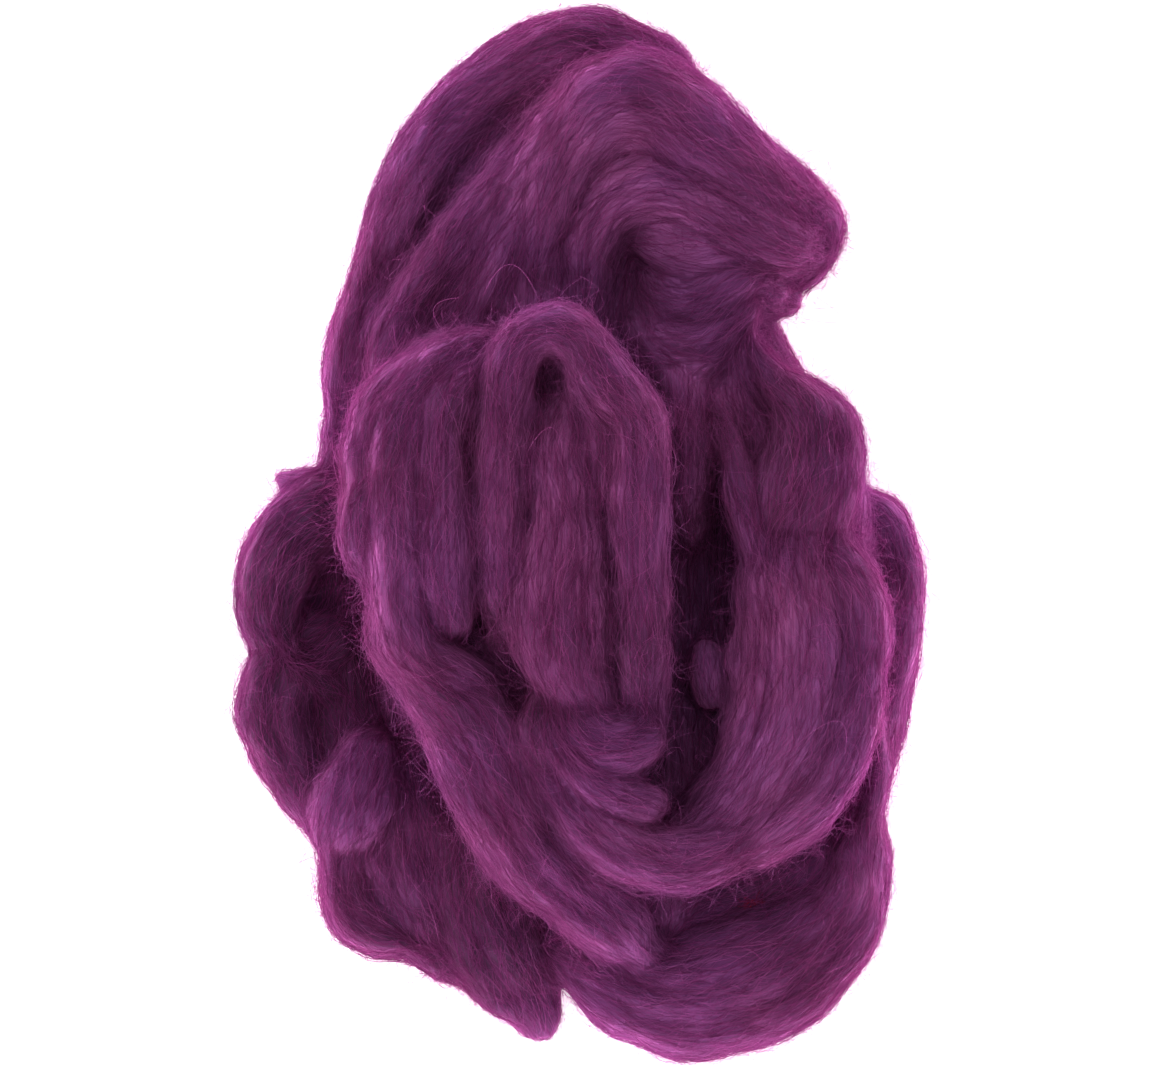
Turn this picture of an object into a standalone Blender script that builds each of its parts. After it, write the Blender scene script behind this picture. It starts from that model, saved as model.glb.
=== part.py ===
"""Wool roving: one length of dyed combed wool, folded back and forth into a loose, soft heap.

The roving is a thick untwisted band of parallel fibres. Each run of the band between two folds
is a pass: a row of PASSES gives its ribs, the depth of the creases between them, and its
sections, listed along the run. A section is a soft oval across the run. The passes press into
each other where they lie together, so the heap is one closed solid with a flat underside.

The origin is on the resting plane, under the middle of the heap. +Z is up, and the longest side
of the heap lies along +Y. The tables are in millimetres, the finished mesh in metres.
"""

import math
from collections import namedtuple

import bmesh
import bpy
import numpy as np

MM = 0.001

# Driving sizes, millimetres.
RING_STEP = 3.0          # distance between two rings along a pass
RING_POINTS = 48         # points round each ring
END_ROUNDING = 0.45      # length of a rounded end, as a share of the section's thickness
OVAL_POWER = 0.86        # below 1 the oval is a little fuller than an ellipse
SKIN_CELL = 2.4          # cell size at which the passes are pressed into one skin
SKIN_SMOOTHING = 2       # rounds of smoothing where two passes meet
FLAT_SNAP = 0.4          # points this close to the resting plane are part of the flat underside
TRIANGLE_TARGET = 9000   # triangles of the finished solid

WOOL_COLOUR = (0.105, 0.020, 0.080, 1.0)
WOOL_ROUGHNESS = 0.85

Section = namedtuple("Section", "x y z wide thick")
Pass = namedtuple("Pass", "ribs groove sections")

PASSES = {
    # Hidden folds that the heap lies on.
    "bed_left": Pass(3, 0.10, (
        Section(12, 100, 10, 50, 26),
        Section(-6, 66, 10, 62, 26),
        Section(-20, 25, 10, 64, 26),
        Section(-23, -15, 10, 58, 26),
        Section(-17, -55, 10, 56, 28),
        Section(-6, -88, 10, 46, 26),
    )),
    "bed_right": Pass(3, 0.10, (
        Section(24, 88, 9, 40, 24),
        Section(28, 62, 9, 30, 24),
        Section(40, 30, 7, 40, 20),
        Section(50, -8, 7, 50, 20),
        Section(50, -46, 8, 50, 22),
        Section(36, -80, 8, 52, 22),
    )),
    "bed_middle": Pass(1, 0.0, (
        Section(22, 50, 11, 34, 26),
        Section(22, 20, 10, 42, 24),
        Section(22, -12, 9, 44, 22),
        Section(22, -45, 10, 44, 24),
        Section(22, -76, 12, 42, 26),
        Section(20, -96, 12, 34, 26),
    )),
    "bed_rim": Pass(1, 0.0, (
        Section(-58, -4, 6, 22, 16),
        Section(-60, -28, 6, 26, 16),
        Section(-57, -52, 7, 26, 18),
        Section(-50, -70, 9, 26, 22),
    )),
    "bed_bottom": Pass(1, 0.0, (
        Section(64, -76, 10, 24, 22),
        Section(50, -88, 12, 28, 24),
        Section(28, -95, 12, 28, 24),
        Section(8, -98, 12, 24, 24),
    )),
    "core_left": Pass(1, 0.0, (
        Section(-22, 40, 24, 44, 24),
        Section(-25, 8, 24, 54, 26),
        Section(-21, -26, 24, 50, 26),
        Section(-9, -56, 24, 42, 26),
        Section(7, -78, 23, 32, 24),
    )),
    "core_right": Pass(1, 0.0, (
        Section(56, 26, 18, 22, 26),
        Section(57, 6, 19, 30, 26),
        Section(57, -18, 20, 34, 26),
        Section(56, -40, 19, 32, 26),
        Section(50, -60, 17, 28, 24),
        Section(38, -74, 16, 24, 22),
    )),
    # Low folds that show round the rim.
    "outer_arch": Pass(2, 0.10, (
        Section(18, 114.5, 14, 20, 26),
        Section(-1, 121, 14, 19, 26),
        Section(-18.5, 112, 13, 18, 26),
        Section(-32, 100, 12, 18, 26),
        Section(-41.5, 84.5, 11, 16, 24),
        Section(-49, 66, 10, 14, 22),
        Section(-55, 46, 9, 13, 20),
        Section(-57, 28, 9, 12, 19),
        Section(-57, 10, 9, 12, 18),
        Section(-56, 0, 9, 12, 18),
    )),
    "arch_floor": Pass(2, 0.10, (
        Section(2, 112, 11, 16, 20),
        Section(-14, 102, 11, 16, 20),
        Section(-27, 90, 10, 15, 19),
        Section(-37, 75, 9, 14, 18),
        Section(-45, 58, 9, 14, 17),
        Section(-50, 42, 8, 13, 15),
    )),
    "left_shoulder": Pass(3, 0.12, (
        Section(-50, 8, 11, 16, 20),
        Section(-62, 5, 12, 20, 25),
        Section(-71, -3, 12, 21, 26),
        Section(-75.5, -14, 12, 18, 26),
        Section(-75, -24, 12, 15, 24),
        Section(-70, -31, 13, 11, 21),
        Section(-64, -36, 12, 8, 18),
    )),
    "shoulder_tuft": Pass(1, 0.0, (
        Section(-59, 8, 10, 14, 18),
        Section(-66, 11.5, 9, 10, 14),
        Section(-71, 13, 8, 6, 10),
    )),
    "left_tail": Pass(2, 0.12, (
        Section(-62, -26, 8, 18, 20),
        Section(-71.5, -33, 10, 19, 23),
        Section(-74, -42, 10, 19, 24),
        Section(-74, -50, 10, 18, 24),
        Section(-69, -60, 10, 13, 23),
        Section(-65, -69, 9, 9, 20),
    )),
    "bottom_rim": Pass(2, 0.12, (
        Section(-58, -64, 10, 16, 24),
        Section(-58, -78, 11, 14, 25),
        Section(-57, -90, 11, 15, 25),
        Section(-50, -97, 11, 16, 25),
        Section(-40, -98, 11, 16, 24),
        Section(-32, -101, 10, 14, 22),
    )),
    "bottom_fan": Pass(3, 0.10, (
        Section(-44, -66, 12, 26, 27),
        Section(-42, -82, 12, 26, 28),
        Section(-37, -95, 11, 24, 26),
        Section(-32, -103, 10, 18, 20),
    )),
    "bottom_tip": Pass(3, 0.08, (
        Section(-25, -76, 13, 24, 28),
        Section(-23, -92, 13, 26, 29),
        Section(-19, -104, 12, 26, 27),
        Section(-14.5, -112, 10, 21, 22),
        Section(-11, -118, 8, 15, 17),
        Section(-10.3, -121, 6, 12, 13),
    )),
    "pink_lobe": Pass(3, 0.08, (
        Section(-52, -59, 19, 18, 24),
        Section(-54, -65, 20, 22, 25),
        Section(-55.5, -70, 17, 22, 23),
        Section(-56, -72, 14, 20, 20),
    )),
    "right_rim": Pass(2, 0.12, (
        Section(64, 4, 8, 16, 18),
        Section(75, 3, 8, 15, 20),
        Section(80, -8, 9, 13, 20),
        Section(80, -24, 9, 12, 20),
        Section(78, -40, 9, 12, 20),
        Section(74.5, -53, 9, 12, 20),
        Section(71, -66, 10, 12, 21),
        Section(70.5, -76, 11, 14, 23),
    )),
    "rim_ridge": Pass(1, 0.0, (
        Section(75, -49, 17, 5, 14),
        Section(75, -57, 17, 6, 14),
        Section(74, -66, 17, 6, 14),
        Section(72, -73, 17, 6, 14),
    )),
    "bottom_sweep": Pass(4, 0.10, (
        Section(70, -76, 12, 15, 24),
        Section(68, -90, 14, 20, 28),
        Section(57.5, -102, 15, 30, 31),
        Section(42, -110, 15, 36, 32),
        Section(25, -113.5, 14, 33, 30),
        Section(9, -109, 13, 24, 27),
        Section(-1, -104, 11, 14, 22),
    )),
    # Middle folds: the flow from the top of the heap, and its torn end at the right.
    "flow_left": Pass(1, 0.0, (
        Section(1, 111, 20, 13, 22),
        Section(-10, 97, 20, 14, 22),
        Section(-21, 84, 20, 14, 22),
        Section(-31, 71, 19, 14, 21),
        Section(-40, 58, 18, 14, 20),
        Section(-45, 46, 17, 13, 19),
        Section(-47, 35, 17, 12, 18),
    )),
    "flow_middle": Pass(2, 0.14, (
        Section(4, 110, 25, 16, 24),
        Section(-7, 96, 24, 16, 24),
        Section(-18, 79, 18, 21, 24),
        Section(-26, 62, 15, 24, 22),
        Section(-32, 48, 15, 24, 20),
    )),
    "flow_right": Pass(3, 0.12, (
        Section(8, 108, 24, 16, 26),
        Section(0, 92, 20, 18, 22),
        Section(-6, 76, 17, 20, 20),
        Section(-9, 60, 16, 22, 20),
        Section(-10, 46, 16, 24, 22),
    )),
    "lobe_top": Pass(2, 0.08, (
        Section(-12, 60, 15, 14, 16),
        Section(-10, 73, 19, 15, 19),
        Section(-6, 85, 23, 18, 23),
        Section(-1, 97, 25, 22, 26),
        Section(8, 106, 26, 25, 29),
        Section(20, 106, 26, 26, 30),
        Section(31, 98, 26, 24, 30),
        Section(42.5, 90, 25, 19, 28),
        Section(52, 82, 22, 15, 25),
        Section(57, 77, 18, 12, 20),
    )),
    "lobe_low": Pass(2, 0.06, (
        Section(3, 59, 17, 12, 20),
        Section(4, 71, 19, 15, 22),
        Section(9, 81, 22, 18, 24),
        Section(18, 86, 24, 21, 25),
        Section(29, 84, 25, 23, 26),
        Section(40, 78, 26, 23, 26),
        Section(49, 73, 25, 19, 25),
        Section(55, 71, 21, 14, 20),
    )),
    "lobe_tuft": Pass(1, 0.0, (
        Section(36, 69, 21, 14, 26),
        Section(43, 63, 18, 14, 24),
        Section(48, 60, 15, 12, 20),
        Section(50, 59, 14, 9, 14),
    )),
    "torn_knob": Pass(1, 0.0, (
        Section(56, 83, 19, 10, 18),
        Section(60, 79, 18, 11, 19),
        Section(60.5, 74, 17, 11, 18),
        Section(57.5, 68, 16, 12, 16),
    )),
    "torn_brow": Pass(1, 0.0, (
        Section(45, 89, 20, 11, 19),
        Section(53, 85.5, 18, 11, 17),
        Section(58.5, 81, 16, 9, 14),
    )),
    "swag_top": Pass(1, 0.0, (
        Section(18, 75, 18, 12, 18),
        Section(24, 73, 22, 17, 22),
        Section(32, 72, 24, 19, 23),
        Section(41, 73, 25, 15, 21),
    )),
    "swag_high": Pass(1, 0.0, (
        Section(21, 63, 14, 10, 18),
        Section(25, 59, 18, 15, 22),
        Section(32, 58, 22, 16, 22),
        Section(39, 62, 24, 13, 21),
    )),
    "swag_low": Pass(1, 0.0, (
        Section(20, 54, 16, 10, 18),
        Section(24, 48, 20, 14, 22),
        Section(31, 47, 23, 14, 22),
        Section(38.5, 53, 24, 11, 20),
    )),
    "swag_foot": Pass(1, 0.0, (
        Section(18, 47, 19, 9, 18),
        Section(24, 41.5, 23, 12, 22),
        Section(32, 41.5, 23, 12, 22),
        Section(37.5, 48, 21, 9, 20),
    )),
    # Upper folds: the loops in the middle and the long U at the right.
    "front_loop": Pass(2, 0.06, (
        Section(-17, -22, 34, 12, 20),
        Section(-18.5, -8, 39, 14, 22),
        Section(-18.5, 8, 41, 14, 23),
        Section(-18, 21, 42, 15, 23),
        Section(-17, 33, 43, 14, 22),
        Section(-15.5, 42, 44, 14, 22),
        Section(-11, 48.5, 45, 13, 21),
        Section(-5, 50, 46, 11.5, 21),
        Section(0.5, 47.5, 47, 12.5, 21),
        Section(4, 41.5, 47, 13, 22),
        Section(8.5, 35.5, 47, 14, 22),
        Section(14, 29, 47, 15, 22),
        Section(15.5, 20, 47, 14, 22),
        Section(15, 8, 46, 15, 22),
        Section(15.5, -10, 45, 14, 22),
        Section(16, -26, 43, 14, 22),
        Section(16.5, -38, 40, 13, 21),
        Section(17, -46, 37, 11, 20),
    )),
    "loop_floor": Pass(1, 0.0, (
        Section(-4, 42, 33, 9, 18),
        Section(-4, 34, 34, 12, 20),
        Section(-3, 26, 37, 15, 20),
    )),
    "loop_inner": Pass(1, 0.0, (
        Section(-1, 45, 41, 6, 16),
        Section(1, 37, 43, 10, 18),
        Section(6, 29, 43, 10, 19),
        Section(7, 18, 43, 9, 19),
        Section(6, 8, 42, 7, 19),
    )),
    "centre_strand": Pass(3, 0.10, (
        Section(-2, 30, 37, 15, 20),
        Section(-4, 20, 41, 17, 22),
        Section(-2.5, 10, 42, 18, 23),
        Section(-2, 1, 43, 19, 24),
        Section(-3.5, -12, 44, 24, 25),
        Section(-3.5, -24, 44, 24, 25),
        Section(-1.5, -34, 42, 19, 23),
        Section(3, -42, 39, 14, 20),
    )),
    "limb_one": Pass(2, 0.08, (
        Section(-27, 45, 36, 9, 18),
        Section(-34, 40, 39, 14, 21),
        Section(-41, 31, 40, 16, 22),
        Section(-44.5, 18, 41, 15, 24),
        Section(-44.5, 5, 41, 15, 25),
        Section(-43.5, -8, 40, 15, 24),
        Section(-43, -20, 38, 15, 24),
        Section(-39, -29, 37, 15, 23),
        Section(-32, -34, 37, 14, 22),
        Section(-25, -37.5, 35, 12, 20),
    )),
    "limb_side": Pass(1, 0.0, (
        Section(-36, 41, 32, 11, 20),
        Section(-45, 33, 34, 14, 22),
        Section(-50, 20, 35, 15, 23),
        Section(-50.5, 7, 35, 15, 23),
        Section(-50, -3, 33, 13, 21),
    )),
    "limb_two": Pass(1, 0.0, (
        Section(-25, 42, 37, 10, 18),
        Section(-31.5, 34, 41, 13, 22),
        Section(-33.5, 22, 42, 13, 23),
        Section(-33.5, 8, 42, 13.5, 23),
        Section(-33, -7, 42, 13.5, 23),
        Section(-31.5, -16, 41, 11, 21),
    )),
    "limb_tuft": Pass(1, 0.0, (
        Section(-51, 9, 38, 12, 21),
        Section(-53, 1, 38, 11, 20),
        Section(-53.5, -4, 36, 8, 16),
    )),
    "long_diagonal": Pass(3, 0.12, (
        Section(-44, -28, 33, 12, 22),
        Section(-35, -38, 35, 18, 24),
        Section(-26, -48, 35, 25, 26),
        Section(-19.5, -60, 34, 26, 27),
        Section(-12, -74, 32, 25, 27),
        Section(-2, -86, 30, 21, 26),
        Section(8, -95, 27, 19, 25),
        Section(13, -100, 23, 16, 21),
    )),
    "curl_outer": Pass(2, 0.12, (
        Section(-8, -39, 36, 7, 18),
        Section(-9.5, -49, 39, 9, 21),
        Section(-5.5, -60, 39, 13, 22),
        Section(2, -70, 38, 15, 23),
        Section(12, -78, 37, 16, 23),
        Section(24, -81, 34, 16, 23),
        Section(36, -79, 33, 14, 22),
        Section(46, -74, 32, 11, 20),
    )),
    "curl_middle": Pass(1, 0.0, (
        Section(-6, -41, 38, 6, 17),
        Section(-5.5, -50, 41, 8, 20),
        Section(-1, -58, 42, 11, 21),
        Section(6, -64, 42, 12, 22),
        Section(13, -66, 40, 11, 20),
    )),
    "curl_inner": Pass(1, 0.0, (
        Section(0, -43, 39, 10, 20),
        Section(2, -49, 41, 13, 21),
        Section(7, -52, 42, 17, 23),
        Section(13, -51, 41, 18, 22),
    )),
    "u_upper": Pass(2, 0.08, (
        Section(45, 45, 23, 6, 15),
        Section(50, 37, 27, 10, 21),
        Section(57, 29, 31, 17, 25),
        Section(58, 18, 33, 25, 26),
        Section(55.5, 8, 34, 26, 26),
        Section(53, -2, 31, 23, 24),
        Section(53, -12, 26, 20, 20),
    )),
    "upper_edge": Pass(1, 0.0, (
        Section(58, 35, 27, 7, 16),
        Section(65, 29, 31, 8, 18),
        Section(67.5, 21, 32, 8, 20),
        Section(66.5, 12, 32, 8, 20),
        Section(64, 4, 31, 7, 18),
        Section(62, -2, 28, 5, 14),
    )),
    "right_u": Pass(4, 0.10, (
        Section(54, 2, 30, 24, 20),
        Section(55, -8, 34, 32, 26),
        Section(57, -21, 35, 37, 28),
        Section(57, -34, 35, 38, 28),
        Section(53, -49, 34, 34, 27),
        Section(46, -61, 31, 28, 25),
        Section(37, -71, 29, 22, 24),
        Section(27, -78, 27, 15, 21),
    )),
    "u_edge": Pass(1, 0.0, (
        Section(67, -10, 37, 12, 20),
        Section(71, -17, 38, 12, 21),
        Section(71.5, -28, 37, 11, 22),
        Section(70, -42, 37, 11, 22),
        Section(66, -56, 37, 12, 22),
        Section(58, -67, 36, 13, 22),
        Section(47, -76, 34, 12, 22),
    )),
    "u_wisp": Pass(1, 0.0, (
        Section(36, 31, 28, 6, 16),
        Section(39, 23, 32, 7, 18),
        Section(41, 13, 34, 8, 19),
        Section(43, 4, 35, 8, 20),
        Section(45, -6, 36, 8, 20),
    )),
    "nook_floor": Pass(1, 0.0, (
        Section(40, 42, 22, 10, 20),
        Section(42, 32, 24, 12, 20),
        Section(44, 22, 26, 13, 20),
    )),
    "gap_lump": Pass(1, 0.0, (
        Section(33, -32, 27, 10, 14),
        Section(33.5, -37, 27, 10, 14),
    )),
    "mid_under": Pass(1, 0.0, (
        Section(27, 37, 22, 18, 26),
        Section(27, 25, 25, 17, 26),
        Section(27, 12, 23, 15, 24),
        Section(28, 3, 16, 12, 18),
    )),
}


def spline(values, at):
    """Catmull-Rom curve through the rows of values, read at the places in at (0 to rows - 1)."""
    padded = np.vstack([2 * values[0] - values[1], values, 2 * values[-1] - values[-2]])
    index = np.clip(np.floor(at).astype(int), 0, len(values) - 2)
    t = (at - index)[:, None]
    p0, p1, p2, p3 = (padded[index + k] for k in range(4))
    return 0.5 * (2 * p1 + (p2 - p0) * t + (2 * p0 - 5 * p1 + 4 * p2 - p3) * t ** 2
                  + (3 * p1 - p0 - 3 * p2 + p3) * t ** 3)


def pass_rings(run):
    """Rings of points round a pass, with rounded ends: an array (rings, points, 3)."""
    rows = np.array(run.sections, dtype=float)
    chords = np.linalg.norm(np.diff(rows[:, :3], axis=0), axis=1)
    at = np.concatenate([
        k + np.arange(max(2, round(chord / RING_STEP))) / max(2, round(chord / RING_STEP))
        for k, chord in enumerate(chords)
    ] + [[len(rows) - 1.0]])
    track = spline(rows, at)
    centre, wide, thick = track[:, :3], track[:, 3], track[:, 4]
    ahead = np.gradient(centre, axis=0)
    ahead /= np.linalg.norm(ahead, axis=1)[:, None]
    side = np.stack([ahead[:, 1], -ahead[:, 0], np.zeros(len(ahead))], axis=1)
    side /= np.linalg.norm(side, axis=1)[:, None]
    up = np.cross(side, ahead)

    angle = np.linspace(0, 2 * math.pi, RING_POINTS, endpoint=False)
    across = np.sign(np.cos(angle)) * np.abs(np.cos(angle)) ** OVAL_POWER
    height = np.sign(np.sin(angle)) * np.abs(np.sin(angle)) ** OVAL_POWER
    crest = np.abs(np.sin((across + 1) * math.pi * run.ribs / 2)) ** 0.7
    relief = 1 - run.groove * 2 * (1 - crest) * (height > 0) if run.ribs > 1 else np.ones(RING_POINTS)

    def ring(k, scale, shift):
        middle = centre[k] + ahead[k] * shift
        return (middle
                + side[k] * (across * wide[k] / 2 * scale)[:, None]
                + up[k] * (height * relief * thick[k] / 2 * scale)[:, None])

    rings = [ring(k, 1.0, 0.0) for k in range(len(centre))]
    steps = [math.radians(a) for a in (30, 55, 75)]
    for step in steps:
        rings.insert(0, ring(0, math.cos(step), -math.sin(step) * END_ROUNDING * thick[0]))
        rings.append(ring(len(centre) - 1, math.cos(step), math.sin(step) * END_ROUNDING * thick[-1]))
    return np.array(rings)


def pass_faces(ring_count, first):
    """Quads along a pass and one cap at each end, numbered from the point called first."""
    faces = []
    for r in range(ring_count - 1):
        for p in range(RING_POINTS):
            q = (p + 1) % RING_POINTS
            a, b = first + r * RING_POINTS, first + (r + 1) * RING_POINTS
            faces.append((a + p, b + p, b + q, a + q))
    last = first + (ring_count - 1) * RING_POINTS
    faces.append(tuple(first + p for p in range(RING_POINTS)))
    faces.append(tuple(last + p for p in reversed(range(RING_POINTS))))
    return faces


def folded_passes():
    """One mesh that holds every pass as its own closed tube."""
    points, faces = [], []
    for run in PASSES.values():
        rings = pass_rings(run)
        faces += pass_faces(len(rings), len(points))
        points += [tuple(point) for point in (rings * MM).reshape(-1, 3)]
    mesh = bpy.data.meshes.new("passes")
    mesh.from_pydata(points, [], faces)
    return mesh


def evaluated(mesh, add_modifier):
    """A new mesh: the given one as it is after one modifier."""
    guide = bpy.data.objects.new("guide", mesh)
    bpy.context.collection.objects.link(guide)
    add_modifier(guide)
    depsgraph = bpy.context.evaluated_depsgraph_get()
    result = bpy.data.meshes.new_from_object(guide.evaluated_get(depsgraph))
    bpy.data.objects.remove(guide)
    return result


def add_skin(guide):
    skin = guide.modifiers.new("skin", "REMESH")
    skin.mode = "VOXEL"
    skin.voxel_size = SKIN_CELL * MM


def add_thinning(guide):
    thinning = guide.modifiers.new("thinning", "DECIMATE")
    triangles = sum(len(face.vertices) - 2 for face in guide.data.polygons)
    thinning.ratio = min(1.0, TRIANGLE_TARGET / triangles)
    thinning.use_collapse_triangulate = True


def keep_outer_skin(bm):
    """Delete every connected shell but the largest, which is the outside of the heap."""
    unseen = set(bm.verts)
    shells = []
    while unseen:
        shell, edge_of_shell = set(), [unseen.pop()]
        while edge_of_shell:
            vert = edge_of_shell.pop()
            shell.add(vert)
            near = {edge.other_vert(vert) for edge in vert.link_edges} & unseen
            unseen -= near
            edge_of_shell.extend(near)
        shells.append(shell)
    shells.sort(key=len)
    for shell in shells[:-1]:
        bmesh.ops.delete(bm, geom=list(shell), context="VERTS")


def settle(bm, reach):
    """Flatten the underside: what lies lower than reach above the resting plane is put on it."""
    for vert in bm.verts:
        if vert.co.z < reach * MM:
            vert.co.z = 0.0


def wool_material():
    material = bpy.data.materials.new("wool")
    material.use_nodes = True
    shader = material.node_tree.nodes["Principled BSDF"]
    shader.inputs["Base Color"].default_value = WOOL_COLOUR
    shader.inputs["Roughness"].default_value = WOOL_ROUGHNESS
    shader.inputs["Metallic"].default_value = 0.0
    return material


def build_roving():
    skin = evaluated(folded_passes(), add_skin)
    bm = bmesh.new()
    bm.from_mesh(skin)
    keep_outer_skin(bm)
    for _ in range(SKIN_SMOOTHING):
        bmesh.ops.smooth_vert(bm, verts=bm.verts, factor=0.5,
                              use_axis_x=True, use_axis_y=True, use_axis_z=True)
    settle(bm, 0.0)
    bm.to_mesh(skin)
    thin = evaluated(skin, add_thinning)
    bm.clear()
    bm.from_mesh(thin)
    settle(bm, FLAT_SNAP)
    bmesh.ops.triangulate(bm, faces=bm.faces)
    bm.to_mesh(thin)
    bm.free()
    thin.shade_smooth()
    thin.materials.append(wool_material())
    roving = bpy.data.objects.new("roving", thin)
    bpy.context.collection.objects.link(roving)


for old in list(bpy.data.objects):
    bpy.data.objects.remove(old, do_unlink=True)
build_roving()
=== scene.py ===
"""Wool roving: the soft, fibrous look of a loose heap of dyed combed wool, seen from above.

Every fold of the heap is swept along the same sections as its solid, finely enough for the
lengthwise furrows of combed wool, and all folds are pressed into one closed skin. Thousands of
thin closed fibres are laid on it along the run of each fold, and some stand off it as down.
Tables and sizes are in millimetres, objects in metres.
"""
import math
from collections import namedtuple

import bpy
import numpy as np
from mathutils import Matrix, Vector, noise
from mathutils.bvhtree import BVHTree


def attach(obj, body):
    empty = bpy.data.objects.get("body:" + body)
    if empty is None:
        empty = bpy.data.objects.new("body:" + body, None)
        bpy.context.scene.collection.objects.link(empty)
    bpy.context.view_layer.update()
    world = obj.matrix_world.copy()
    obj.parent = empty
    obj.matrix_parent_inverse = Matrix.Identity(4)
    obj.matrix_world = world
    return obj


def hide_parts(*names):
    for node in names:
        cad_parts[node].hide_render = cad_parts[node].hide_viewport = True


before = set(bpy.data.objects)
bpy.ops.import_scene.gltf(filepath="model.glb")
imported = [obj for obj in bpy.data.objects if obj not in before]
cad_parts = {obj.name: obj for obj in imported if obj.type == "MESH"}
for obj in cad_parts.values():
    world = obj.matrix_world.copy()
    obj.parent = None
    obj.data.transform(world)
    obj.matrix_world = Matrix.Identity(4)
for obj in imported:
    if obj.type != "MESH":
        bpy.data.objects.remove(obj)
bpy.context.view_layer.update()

MM = 0.001
SEED = 7

# One pass of the band: its ribs, the depth of its grooves and its sections. Each section says
# where its middle lies (x, y, z), how wide it is and how thick.
Pass = namedtuple("Pass", "ribs groove sections")

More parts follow.
